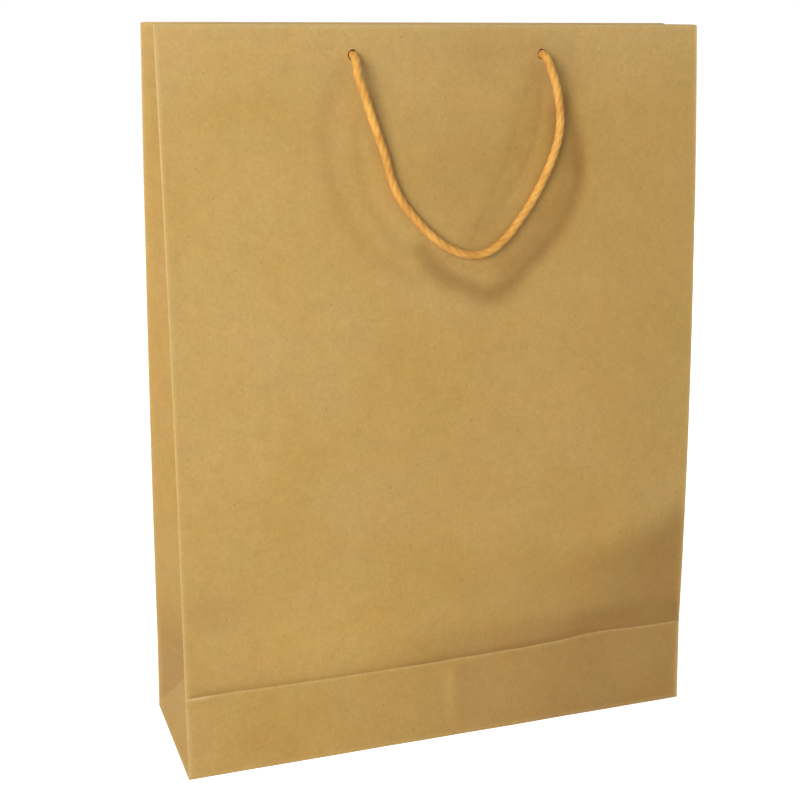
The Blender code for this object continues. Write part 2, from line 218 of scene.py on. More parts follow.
class BagStage(bpy.types.PropertyGroup):
    lens: FloatProperty(name="Lens", description="Focal length on a 36 mm sensor", default=64.32)
    camera_place: FloatVectorProperty(
        name="Camera place",
        description="Where the camera stands",
        subtype="TRANSLATION",
        size=3,
        default=(-0.2804, -0.7405, 0.4187),
    )
    camera_turn: FloatVectorProperty(
        name="Camera turn",
        description="Turn towards the right, pitch down and roll",
        subtype="EULER",
        size=3,
        default=(math.radians(19.70), math.radians(15.99), math.radians(0.58)),
    )
    key_power: watts("Key light", "Power of the upper left lamp", 20.0)
    fill_power: watts("Fill light", "Power of the right lamp", 1.2)
    back_power: watts("Back light", "Power of the rear lamp", 17.0)
    sky: FloatProperty(name="Sky", description="Strength of the even light from all round", default=0.30)
    floor_glow: FloatProperty(
        name="Floor glow",
        description="What the camera sees added to the lit floor, to bring it to white",
        default=0.76,
    )


# Shape of the bag


def ease(t):
    """A smooth step from 0 to 1."""
    t = min(max(t, 0), 1)
    return t * t * (3 - 2 * t)


def bell(t):
    return math.exp(-t * t)


def hump(t):
    """Rises from 0 at 0 to 1 at 1, then fades slowly."""
    return t * math.exp(1 - t) if t > 0 else 0


def drift(x, z, size, seed):
    """Smooth wandering between about -1 and 1 with features of a size."""
    return noise.noise(Vector((x / size, z / size, seed)))


def off_fold(x, reach):
    """0 on a panel's corner folds, rising to 1 at a reach from them."""
    return ease((WIDTH / 2 - abs(x)) / reach)


def distance_to_line(x, z, line):
    """Shortest distance from a place to an open line of straight pieces."""
    best = 1.0
    for (ax, az), (bx, bz) in zip(line, line[1:]):
        dx, dz = bx - ax, bz - az
        t = ((x - ax) * dx + (z - az) * dz) / (dx * dx + dz * dz)
        t = min(max(t, 0), 1)
        best = min(best, math.hypot(x - ax - t * dx, z - az - t * dz))
    return best


def smooth_line(points, step):
    """Places at even steps along a smooth curve through given places, and their run from its start."""
    given = [Vector(p) for p in points]
    ends = [2 * given[0] - given[1], *given, 2 * given[-1] - given[-2]]
    dense = []
    for k in range(1, len(ends) - 2):
        p0, p1, p2, p3 = ends[k - 1 : k + 3]
        for u in np.linspace(0, 1, 16, endpoint=False):
            bend = (2 * p0 - 5 * p1 + 4 * p2 - p3) * u**2 + (3 * p1 - p0 - 3 * p2 + p3) * u**3
            dense.append(0.5 * (2 * p1 + (p2 - p0) * u + bend))
    dense.append(given[-1])
    dense = np.array(dense)
    run = np.concatenate([[0], np.cumsum(np.linalg.norm(np.diff(dense, axis=0), axis=1))])
    places = np.linspace(0, run[-1], round(run[-1] / step) + 1)
    return np.stack([np.interp(places, run, dense[:, k]) for k in range(dense.shape[1])], axis=1), places


def fold_shares(count, length):
    """Even shares from 0 to 1 across a face, with three closer ones beside each end to round its folds."""
    near, next_near, last_near = 0.0005 / length, 0.0014 / length, 0.0029 / length
    middle = [last_near + (1 - 2 * last_near) * k / (count - 1) for k in range(count)]
    return [0, near, next_near, *middle, 1 - next_near, 1 - near, 1]


class BagShape:
    """The standing bag's outer surface, with the dents, prints and waves of its paper."""

    BASE_LAYERS = 2  # flaps below the base sheet
    # Inset and height of the rings round the base sheet's rim
    BASE_RIM = ((0.0016, 0.0006), (0.0008, 0.0003), (0.0003, 0.0001), (0.0, 0.0004))
    FLAP_INSET = 0.0015  # from the base folds to the flaps' edges
    TOP_ROUND = 0.0007
    SEAM_EDGE = 0.003  # from the back right fold to the sheet's glued edge
    SEAM_STEP = 0.00018
    SEAM_END = 0.001  # below the hem
    FRONT_COLUMNS, BACK_COLUMNS, GUSSET_COLUMNS = 118, 58, 13
    SCORE_ROWS = (0.0004, 0.0011, 0.0022, 0.0038)  # heights of the closer rows above the score
    ROW = 0.0028
    HEM_ROWS = 9
    ROUND_ANGLES = (30, 60, 90, 120, 150, 180)  # of the rows over the rolled top edge

    def __init__(self, sizes):
        self.sizes = sizes
        self.lift = self.BASE_LAYERS * sizes.paper
        self.score_level = self.lift + math.sqrt(sizes.crease_height**2 - sizes.crease_inset**2)
        self.hem_level = HEIGHT - sizes.hem_depth
        self.panel_stack = 2 * sizes.paper + 2 * sizes.gap + sizes.card
        self.gusset_stack = 2 * sizes.paper + sizes.gap
        self.prints = []
        for line, half_width, depth, dark in HANDLE_PRINTS:
            route, _ = smooth_line([(*p, 0) for p in line], 0.003)
            places = [(sizes.handle_shift + p[0], HEIGHT - sizes.hole_drop - p[1]) for p in route]
            self.prints.append((places, half_width, depth, dark))
        push = self.push(self.score_level)
        apex = self.lift + math.sqrt(sizes.crease_height**2 - push**2)
        self.centre_drop = self.score_level - apex
        self.base_corners = [Vector((*place, self.lift)) for place in self.corners(self.lift, 0)]
        score = self.corners(self.score_level, push)
        heights = [apex if side in (RIGHT_BACK, LEFT_FRONT) else self.score_level for side in range(6)]
        self.score_corners = [Vector((*place, height)) for place, height in zip(score, heights)]

    def half_depth(self, z):
        at_score = BASE_DEPTH / 2 - self.sizes.crease_inset
        if z <= self.score_level:
            share = max(z - self.lift, 0) / (self.score_level - self.lift)
            return BASE_DEPTH / 2 - self.sizes.crease_inset * share
        share = (z - self.score_level) / (HEIGHT - self.score_level)
        lean = self.sizes.straight_lean * share + (1 - self.sizes.straight_lean) * share**2
        return at_score + (self.sizes.mouth_depth / 2 - at_score) * lean

    def push(self, z):
        """How far in the gusset's centre fold lies, where the paper keeps its width."""
        return math.sqrt(max((BASE_DEPTH / 2) ** 2 - self.half_depth(z) ** 2, 0))

    def bow(self, x, z):
        share = min(max((z - self.score_level) / (self.hem_level - self.score_level), 0), 1)
        return self.sizes.panel_bow * 4 * share * (1 - share) * (1 - (2 * x / WIDTH) ** 2)

    def panel_face(self, x, z):
        return self.half_depth(z) + self.bow(x, z)

    def corners(self, z, push):
        """The four corner folds and two centre folds at a height, in the order of the sides."""
        wide, deep = WIDTH / 2, self.half_depth(z)
        right, left = (wide - push, 0), (push - wide, 0)
        return [(-wide, -deep), (wide, -deep), right, (wide, deep), (-wide, deep), left]

    def turned_corners(self, z, panel_in, gusset_in):
        """The same corners moved inwards, by one distance on the panels and another on the gussets."""
        given = [Vector(p) for p in self.corners(z, self.push(z))]
        moves = []
        for side in range(6):
            along = (given[(side + 1) % 6] - given[side]).normalized()
            moves.append((Vector((-along.y, along.x)), panel_in if side in (FRONT, BACK) else gusset_in))
        moved = []
        for k in range(6):
            (before, first), (after, second) = moves[k - 1], moves[k]
            turn = before.x * after.y - before.y * after.x
            shift = Vector((first * after.y - second * before.y, second * before.x - first * after.x)) / turn
            moved.append(given[k] + shift)
        return moved

    # Sculpted paper

    def off_base(self, z, reach=0.012):
        """0 at the base fold, rising to 1 above it."""
        return ease((z - self.lift) / reach)

    def below_hem(self, z):
        """1 below the turned-in top, falling to 0 where its layers keep the paper flat."""
        return ease((self.hem_level + 0.004 - z) / 0.012)

    def print_at(self, x, z):
        """Depth of the handle's prints at a place on the front, and the painted shade along them."""
        depth, dark = 0, 0
        for line, half_width, deep, shade in self.prints:
            share = distance_to_line(x, z, line) / half_width
            if share < 3:
                press = 0.85 + 0.35 * drift(x, z, 0.018, 51.3)
                depth += press * deep * (bell(share) - 0.25 * bell((share - 1.7) * 1.6))
                dark = max(dark, press * shade * bell(share * 0.9))
        return depth, dark

    def lower_right(self, x, z):
        """The swell at the lower right of the front, and the painted shade of the hollows that it leaves
        below it.
        """
        high = z - self.score_level
        across, level = zip(*SWELL_RIDGE)
        below = 0.75 * (np.interp(x, across, level) - z)
        along = min(max((x + 0.03) / 0.16, 0), 1)
        fade = math.exp(below / 0.050) if below < 0 else max(1 - below / 0.065, 0)
        out = 0.0034 * ease(along) * fade * off_fold(x, 0.050) * ease(high / 0.030)
        # Painted shade: a wedge below the ridge, and a band in the hollow just above the score
        wedge = 0.80 * along**2 * ease(below / 0.020) * (0.7 + 0.3 * off_fold(x, 0.006))
        deep = max(along, 0.45 * ease((x + 0.036) / 0.022))
        hollow = 0.58 * deep * ease((0.026 - high) / 0.018) * (1 - 0.6 * ease((x - 0.105) / 0.025))
        return out, wedge + hollow

    def above_score(self, x, z, high):
        """Relief and darkness of the front above the score: its lip, the swell, their painted shade and the
        patches.
        """
        lip = (0.0007 + 0.0004 * drift(x, 0, 0.016, 5.5)) * (0.8 + 0.5 * ease((x - 0.04) / 0.06))
        swell, dark = self.lower_right(x, z)
        out = lip * hump(high / 0.0045) * off_fold(x, 0.004)
        out += swell + 0.0004 * bell((x + 0.02) / 0.07) * hump(high / 0.030)
        # Painted shade in the crease just above the score
        dark += 0.50 * bell(high / 0.0035) * off_fold(x, 0.004) + 0.08 * bell(high / 0.016)
        for middle, level, reach, rise, shade in TONE_PATCHES:
            dark += shade * bell((x - middle) / reach) * bell((high - level) / rise)
        return out, dark

    def below_score(self, x, z, high):
        """Relief and painted shade of the front's foot, with its upright crease near the middle."""
        inner = off_fold(x, 0.012) * ease(-high / 0.008) * self.off_base(z)
        out = (0.0006 * drift(x, z, 0.03, 2.2) + 0.0007 * bell((x - 0.008) / 0.012)) * inner
        # Painted shade that grows towards the right, and painted shade and a painted highlight on either side
        # of the upright crease
        dark = 0.36 * ease((x + 0.075) / 0.11) + 0.32 * ease((x - 0.02) / 0.08)
        mark = (0.20 * bell((x - 0.009) / 0.005) - 0.30 * bell((x - 0.002) / 0.003)) * inner
        return out, dark + mark * (0.7 + 0.8 * drift(x, z, 0.012, 71.5))

    def front_relief(self, x, z):
        """How far the front stands out from its plain face, and how dark it is, mostly from painted shade."""
        high = z - self.score_level
        wave = 0.0005 * drift(x, z, 0.075, 3.1) + 0.00030 * drift(x, z, 0.026, 8.4)
        if z > 0.25 and abs(x) < 0.09:
            wave = min(wave, 0.0001)  # stays clear of the hanging cord
        out, dark = self.above_score(x, z, high) if high > 0 else self.below_score(x, z, high)
        out += wave * off_fold(x, 0.012) * (0.12 + 0.88 * self.below_hem(z))
        if z > 0.2:
            depth, shade = self.print_at(x, z)
            out -= depth * (0.25 + 0.75 * self.below_hem(z))
            dark = max(dark, shade)
        return out, dark

    def back_relief(self, x, z):
        high = z - self.score_level
        wave = 0.0006 * drift(x, z, 0.08, 13.7) + 0.0002 * drift(x, z, 0.024, 18.2)
        out = wave * off_fold(x, 0.012) * (0.12 + 0.88 * self.below_hem(z))
        if high > 0:
            lip = 0.0006 + 0.0002 * drift(x, 0, 0.03, 15.5)
            out += lip * hump(high / 0.006) * off_fold(x, 0.006)
            out += 0.0014 * bell((x + 0.05) / 0.08) * hump(high / 0.035)
        if x > WIDTH / 2 - self.SEAM_EDGE:
            out -= self.SEAM_STEP
        # Painted shade just above the back score
        return out, 0.22 * hump(high / 0.004) * bell(high / 0.02)

    def gusset_relief(self, across, z, side):
        """Waves of a gusset's half, from its corner fold at 0 to its centre fold at 1, and its painted shade.
        """
        inner = ease(across / 0.15) * ease((1 - across) / 0.15)
        wave = 0.0006 * drift(across * BASE_DEPTH / 2, z, 0.035, 21.3 + side)
        out = wave * inner * self.below_hem(z) * self.off_base(z, 0.01)
        return out, (0.18 + 0.45 * bell(max(z - self.score_level, 0) / 0.020)) * inner

    def score_rise(self, x, z):
        """The front score isn't quite level: how far it and the paper beside it lie above their place."""
        near = bell((z - self.score_level) / 0.022) * self.off_base(z)
        level = 0.0026 * ease((x - 0.045) / 0.060) - 0.0012 * bell((x + 0.050) / 0.070)
        return near * (level + 0.0005 * drift(x, 0, 0.022, 31.7)) * off_fold(x, 0.0025)

    def score_pinch(self, x, z):
        """How far the score is drawn in past its plain place."""
        return 0.0011 * bell((z - self.score_level) / 0.014) * self.off_base(z) * off_fold(x, 0.05)

    # Places on the surface, each with its fold wear and painted highlight, and its darkness, mostly painted
    # shade

    def wear_and_highlight_of(self, share, length, reach=0.0009):
        """Rubbed fibres and painted highlight along a fold: full on it and gone a millimetre or two away."""
        return bell(min(share, 1 - share) * length / reach)

    def fold_to_centre(self, side, share):
        """0 on the panels and the corner folds, rising to 1 at a gusset's centre fold."""
        if side in (FRONT, BACK):
            return 0
        return share if side in GUSSETS_FROM_FOLD else 1 - share

    def finished(self, side, share, place, normal):
        """A plain place with its relief, wear and painted highlight, and darkness, mostly painted shade."""
        x, _, z = place
        if side == FRONT:
            out, dark = self.front_relief(x, z)
            # Light lines along the front's corner folds, wear and painted highlight; the brightening towards
            # the top is painted highlight
            wear_and_highlight = self.wear_and_highlight_of(share, WIDTH, 0.0012 + 0.0009 * bell(z / self.score_level))
            wear_and_highlight *= 1 + 0.6 * ease((z - 0.25) / 0.10)
            rise = Vector((0, 0, self.score_rise(x, z)))
            return place + normal * (out - self.score_pinch(x, z)) + rise, wear_and_highlight, dark
        if side == BACK:
            out, dark = self.back_relief(x, z)
            return place + normal * out, self.wear_and_highlight_of(share, WIDTH), dark
        across = self.fold_to_centre(side, share)
        out, dark = self.gusset_relief(across, z, side)
        wear_and_highlight = self.wear_and_highlight_of(share, BASE_DEPTH / 2)
        if across >= 0.5:
            wear_and_highlight *= 0.5 * ease((z - self.score_level) / 0.010)
        return place + normal * out, wear_and_highlight, dark

    def foot_place(self, side, share, rise):
        """A place between the base fold, where rise is 0, and the score, where it is 1."""
        base, score = self.base_corners, self.score_corners
        end = (side + 1) % 6
        if side in (FRONT, BACK):
            place = base[side].lerp(score[side], rise).lerp(base[end].lerp(score[end], rise), share)
            return self.finished(side, share, place, Vector((0, -1 if side == FRONT else 1, 0)))
        fold, centre = (side, end) if side in GUSSETS_FROM_FOLD else (end, side)
        across = self.fold_to_centre(side, share)
        at_fold = base[fold].lerp(score[fold], rise)
        on_diagonal = base[fold].lerp(score[centre], rise)
        at_centre = base[centre].lerp(score[centre], rise)
        if across <= rise:
            place = at_fold.lerp(on_diagonal, across / rise if rise else 0)
        else:
            place = on_diagonal.lerp(at_centre, (across - rise) / (1 - rise))
        outward = Vector((math.copysign(1, place.x), 0, 0))
        spot, wear_and_highlight, dark = self.finished(side, share, place, outward)
        # A light line along the gusset's diagonal fold, wear and painted highlight, and most of the painted
        # shade kept off the part between that fold and the centre fold
        off_diagonal = (across - rise) * BASE_DEPTH / 2
        wear_and_highlight = max(wear_and_highlight, 0.25 * bell(off_diagonal / 0.0018))
        return spot, wear_and_highlight, dark * (0.15 + 0.85 * ease(0.5 - off_diagonal / 0.003))

    def wall_place(self, side, share, z):
        """A place above the score, where the gussets' centre folds sag to their apex at first."""
        sag = self.fold_to_centre(side, share) * (1 - ease((z - self.score_level) / 0.035))
        z -= self.centre_drop * sag
        flat = self.corners(z, self.push(z))
        start, end = Vector(flat[side]), Vector(flat[(side + 1) % 6])
        along = (end - start).normalized()
        outward = Vector((along.y, -along.x, 0))
        place = start.lerp(end, share).to_3d()
        place.z = z
        if side in (FRONT, BACK):
            place += outward * self.bow(place.x, z)
        return self.finished(side, share, place, outward)

    def turned_place(self, side, share, z, turned, height):
        """A place on the rolled top edge or the hem, turned in by a share of the layers' depth."""
        flat = self.turned_corners(z, turned * self.panel_stack, turned * self.gusset_stack)
        place = flat[side].lerp(flat[(side + 1) % 6], share).to_3d()
        place.z = height
        along = (flat[(side + 1) % 6] - flat[side]).normalized()
        deep = (HEIGHT - height) / self.sizes.hem_depth
        slack = 0.0004 * ease((deep - 0.55) / 0.45) * (1 + drift(place.x, place.y, 0.05, 41.9))
        wear_and_highlight = self.wear_and_highlight_of(share, WIDTH if side in (FRONT, BACK) else BASE_DEPTH / 2)
        return place + Vector((-along.y, along.x, 0)) * slack, wear_and_highlight, 0


# Meshes


def add_object(name, bm):
    mesh = bpy.data.meshes.new(name)
    bm.to_mesh(mesh)
    bm.free()
    made = bpy.data.objects.new(name, mesh)
    bpy.context.scene.collection.objects.link(made)
    return made


def next_ring(bm, ring):
    """Extrudes a closed ring of vertices and gives the new ring in the same order."""
    edges = [bm.edges.get(pair) for pair in zip(ring, ring[1:] + ring[:1])]
    made = bmesh.ops.extrude_edge_only(bm, edges=edges)["geom"]
    fresh = {v for v in made if isinstance(v, bmesh.types.BMVert)}
    return [next(e.other_vert(v) for e in v.link_edges if e.other_vert(v) in fresh) for v in ring]


def apply_modifiers(made):
    """Leaves the object with the mesh that its modifiers made of it."""
    graph = bpy.context.evaluated_depsgraph_get()
    final = made.evaluated_get(graph)
    baked = bpy.data.meshes.new_from_object(final, preserve_all_data_layers=True, depsgraph=graph)
    made.modifiers.clear()
    plain = made.data
    made.data = baked
    bpy.data.meshes.remove(plain)
    return made


def finish_piece(made, material, node, sharp_degrees):
    """Gives a piece its material and smooth and sharp edges, hangs it under root, and hides its imported
    solid.
    """
    made.data.materials.clear()
    made.data.materials.append(material)
    made.data.shade_smooth()
    made.data.set_sharp_from_angle(angle=math.radians(sharp_degrees))
    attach(made, "root")
    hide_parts(node)
    return made


class RingSkin:
    """A skin that grows ring by ring, each vertex with wear and painted highlight, and darkness, mostly
    painted shade.
    """

    def __init__(self):
        self.bm = bmesh.new()
        self.wear_and_highlight = self.bm.verts.layers.float.new("wear_and_highlight")
        self.dark = self.bm.verts.layers.float.new("dark")
        self.ring = []

    def place(self, vertex, co, wear_and_highlight, dark):
        vertex.co = co
        vertex[self.wear_and_highlight] = wear_and_highlight
        vertex[self.dark] = dark

    def start(self, spots):
        self.ring = [self.bm.verts.new() for _ in spots]
        for vertex, spot in zip(self.ring, spots):
            self.place(vertex, *spot)
        self.bm.faces.new(list(reversed(self.ring)))

    def grow(self, spots):
        below, self.ring = self.ring, next_ring(self.bm, self.ring)
        for vertex, spot in zip(self.ring, spots):
            self.place(vertex, *spot)
        return below


def ring_stations(shape):
    """Side and share of each vertex of a ring, from the front left fold round the bag."""
    gusset = fold_shares(shape.GUSSET_COLUMNS, BASE_DEPTH / 2)
    panels = {FRONT: fold_shares(shape.FRONT_COLUMNS, WIDTH), BACK: fold_shares(shape.BACK_COLUMNS, WIDTH)}
    seam = shape.SEAM_EDGE / WIDTH
    half_step = 0.0001 / WIDTH
    panels[BACK] = sorted([*panels[BACK], seam - half_step, seam + half_step])
    stations = []
    for side in range(6):
        stations += [(side, share) for share in panels.get(side, gusset)[:-1]]
    return stations, gusset


def rounded(spots, stations):
    """Pulls the corner folds in a little, so that they turn in a small round."""
    soft = list(spots)
    for k, (_, share) in enumerate(stations):
        if share == 0:
            before, after = spots[k - 1][0], spots[(k + 1) % len(spots)][0]
            soft[k] = (spots[k][0] * 0.6 + (before + after) * 0.2, *spots[k][1:])
    return soft


def split_gusset_feet(skin, below, stations, rise, shares):
    """Splits the quads that a gusset's diagonal fold runs through, and those beside them, along that fold."""
    count, last = len(stations), len(shares) - 1
    step = shares.index(rise)
    for side in (RIGHT_FRONT, RIGHT_BACK, LEFT_BACK, LEFT_FRONT):
        first = next(k for k, s in enumerate(stations) if s == (side, 0))
        for column in range(max(step - 3, 0), min(step + 4, last)):
            if side in GUSSETS_FROM_FOLD:
                low, high = first + column, first + column + 1
            else:
                low, high = first + last - column, first + last - 1 - column
            bmesh.ops.connect_verts(skin.bm, verts=[below[low % count], skin.ring[high % count]])


def folded_skin(shape):
    """The sheet's outer face in one skin: base, foot, walls, rolled top edge and turned-in hem."""
    skin = RingSkin()
    stations, shares = ring_stations(shape)
    plain = [shape.foot_place(side, share, 0) for side, share in stations]
    # The base rim carries a light fold line: wear and painted highlight
    for inset, height in shape.BASE_RIM:
        narrow, shallow = 1 - 2 * inset / WIDTH, 1 - 2 * inset / BASE_DEPTH
        spots = [(Vector((co.x * narrow, co.y * shallow, height)), 0.5, dark) for co, wear_and_highlight, dark in plain]
        if skin.ring:
            skin.grow(spots)
        else:
            skin.start(spots)
    for before, rise in zip(shares[1:], shares[2:]):
        spots = [shape.foot_place(side, share, rise) for side, share in stations]
        # Light lines along the base fold and just below the score: wear and painted highlight
        near_base = bell(rise * shape.sizes.crease_height / 0.0012)
        below_score = (1 - rise) * shape.sizes.crease_height
        near_score = bell((below_score - 0.0006) / 0.0007)
        for k, (side, _) in enumerate(stations):
            co, wear_and_highlight, dark = spots[k]
            rubbed_and_highlit = 0.5 if side in (FRONT, BACK) else 0.2
            if side == FRONT:  # painted highlight, most at the left end of the score
                rubbed_and_highlit += 1.4 * bell((co.x + 0.146) / 0.007)
            spots[k] = (co, max(wear_and_highlight, near_base, rubbed_and_highlit * near_score), dark)
        below = skin.grow(rounded(spots, stations))
        split_gusset_feet(skin, below, stations, before, shares)
    top = HEIGHT - shape.TOP_ROUND
    first = [shape.score_level + d for d in shape.SCORE_ROWS]
    count = round((top - first[-1]) / shape.ROW)
    levels = first + [first[-1] + (top - first[-1]) * k / count for k in range(1, count + 1)]
    for z in levels:
        spots = [shape.wall_place(side, share, z) for side, share in stations]
        # Light lines along the top edge and over the rolled edge: wear and painted highlight
        near_top = 0.5 * bell((top - z) / 0.0012)
        spots = [(co, max(wear_and_highlight, near_top), dark) for co, wear_and_highlight, dark in spots]
        skin.grow(rounded(spots, stations))
    for angle in map(math.radians, shape.ROUND_ANGLES):
        turned = (1 - math.cos(angle)) / 2
        height = top + shape.TOP_ROUND * math.sin(angle)
        spots = [shape.turned_place(side, share, HEIGHT, turned, height) for side, share in stations]
        skin.grow(rounded([(co, 0.85, 0) for co, wear_and_highlight, dark in spots], stations))
    for k in range(1, shape.HEM_ROWS + 1):
        z = top + (shape.hem_level - top) * k / shape.HEM_ROWS
        spots = [shape.turned_place(side, share, z, 1, z) for side, share in stations]
        skin.grow(rounded(spots, stations))
    bmesh.ops.recalc_face_normals(skin.bm, faces=skin.bm.faces)
    lowest = min(skin.bm.faces, key=lambda f: f.calc_center_median().z)
    if lowest.normal.z > 0:
        bmesh.ops.reverse_faces(skin.bm, faces=skin.bm.faces)
    return skin.bm


def punch(name, shape, side):
    """A round cutter through both panels at one pair of holes."""
    sizes = shape.sizes
    centre = (sizes.handle_shift + side * sizes.hole_spacing / 2, 0, HEIGHT - sizes.hole_drop)
    bm = bmesh.new()
    bmesh.ops.create_cone(
        bm,
        cap_ends=True,
        segments=40,
        radius1=sizes.hole_diameter / 2,
        radius2=sizes.hole_diameter / 2,
        depth=BASE_DEPTH,
        matrix=Matrix.Translation(centre) @ Matrix.Rotation(math.pi / 2, 4, "X"),
    )
    return add_object(name, bm)


def folded_sheet(shape):
    sheet = add_object("kraft_sheet", folded_skin(shape))
    wall = sheet.modifiers.new("paper", "SOLIDIFY")
    wall.thickness = shape.sizes.paper
    wall.offset = -1
    cutters = [punch("left_punch", shape, -1), punch("right_punch", shape, 1)]
    for cutter in cutters:
        hole = sheet.modifiers.new(cutter.name, "BOOLEAN")
        hole.operation = "DIFFERENCE"
        hole.object = cutter
        hole.solver = "EXACT"
    apply_modifiers(sheet)
    for cutter in cutters:
        bpy.data.objects.remove(cutter)
    return sheet


def base_flap(name, shape, front):
    """A long bottom flap with mitred ends, glued under the base sheet."""
    sizes = shape.sizes
    side = -1 if front else 1
    fold = BASE_DEPTH / 2 - shape.FLAP_INSET
    length = BASE_DEPTH / 2 + sizes.flap_overlap / 2
    reach = WIDTH / 2 - shape.FLAP_INSET
    far, edge = reach - length, fold - length
    corners = [(-reach, fold), (reach, fold), (far, edge), (-far, edge)]
    low = 0 if front else sizes.paper
    bm = bmesh.new()
    wear_and_highlight = bm.verts.layers.float.new("wear_and_highlight")
    bm.faces.new([bm.verts.new((x, side * y, low)) for x, y in corners])
    bmesh.ops.subdivide_edges(bm, edges=bm.edges[:], cuts=1)
    if not front:
        for vertex in bm.verts:
            if abs(vertex.co.y) > fold - 0.0005:
                vertex.co.z = 0
    made = bmesh.ops.extrude_face_region(bm, geom=bm.faces[:])["geom"]
    top = [v for v in made if isinstance(v, bmesh.types.BMVert)]
    bmesh.ops.translate(bm, verts=top, vec=(0, 0, sizes.paper * 0.9))
    for vertex in bm.verts:
        vertex[wear_and_highlight] = 0.35
    bmesh.ops.recalc_face_normals(bm, faces=bm.faces)
    return add_object(name, bm)


def seam_tab(shape):
    """The glued tab of the tube's seam, inside the back panel beside its right-hand fold."""
    right, wide = WIDTH / 2 - shape.SEAM_EDGE, shape.sizes.seam_width
    low, high = shape.lift + 0.002, shape.hem_level - shape.SEAM_END
    bm = bmesh.new()
    bmesh.ops.create_grid(bm, x_segments=6, y_segments=89, size=0.5)
    for vertex in bm.verts:
        x, z = right - wide * (vertex.co.x + 0.5), low + (high - low) * (vertex.co.y + 0.5)
        out, _ = shape.back_relief(x, z)
        vertex.co = (x, shape.panel_face(x, z) + out - 1.05 * shape.sizes.paper, z)
    bmesh.ops.recalc_face_normals(bm, faces=bm.faces)
    if bm.faces[:][0].normal.y < 0:
        bmesh.ops.reverse_faces(bm, faces=bm.faces)
    tab = add_object("seam_tab", bm)
    wall = tab.modifiers.new("paper", "SOLIDIFY")
    wall.thickness = shape.sizes.paper * 0.9
    wall.offset = -1
    return apply_modifiers(tab)


# Cord


def turning_frames(line):
    """Along a line of places, a pair of square directions that turn no more than the line does."""
    tangents = np.gradient(line, axis=0)
    tangents /= np.linalg.norm(tangents, axis=1)[:, None]
    normal = Vector(tangents[0]).orthogonal().normalized()
    pairs = []
    for tangent in tangents:
        tangent = Vector(tangent)
        normal = (normal - tangent * normal.dot(tangent)).normalized()
        pairs.append((normal.copy(), tangent.cross(normal)))
    return pairs


def twisted_rope(name, line, run, sizes, start_turn):
    """A rope of strands laid round each other, swept as one closed skin along a line of places."""
    sides = 12 * sizes.strands
    core = 0.21  # from the cord's middle to a strand's, as a share of the cord's radius
    strand = 1 - core
    sector = math.pi / sizes.strands
    bm = bmesh.new()
    around = bm.verts.layers.float.new("around")
    along = bm.verts.layers.float.new("along")
    ring = []
    for (normal, side), place, far in zip(turning_frames(line), line, run):
        turn = start_turn + 2 * math.pi * far / sizes.lay_length
        spots = []
        for k in range(sides):
            angle = 2 * math.pi * k / sides
            off = (angle + sector) % (2 * sector) - sector
            out = core * math.cos(off) + math.sqrt(strand**2 - (core * math.sin(off)) ** 2)
            reach = sizes.cord_diameter / 2 * out
            direction = normal * math.cos(angle + turn) + side * math.sin(angle + turn)
            spots.append(Vector(place) + direction * reach)
        if ring:
            ring = next_ring(bm, ring)
        else:
            ring = [bm.verts.new(spot) for spot in spots]
            first = bm.faces.new(ring)
        for k, vertex in enumerate(ring):
            vertex.co = spots[k]
            vertex[around] = k / sides
            vertex[along] = far
    last = bm.faces.new(ring)
    for cap in (first, last):
        bmesh.ops.poke(bm, faces=[cap])
    bmesh.ops.recalc_face_normals(bm, faces=bm.faces)
    rope_map = bm.loops.layers.uv.new("rope")
    for face in bm.faces:
        places = [loop.vert[around] for loop in face.loops]
        wraps = max(places) - min(places) > 0.5
        for loop, place in zip(face.loops, places):
            loop[rope_map].uv = (place + 1 if wraps and place < 0.5 else place, loop.vert[along] * 10)
    return add_object(name, bm)


# Materials


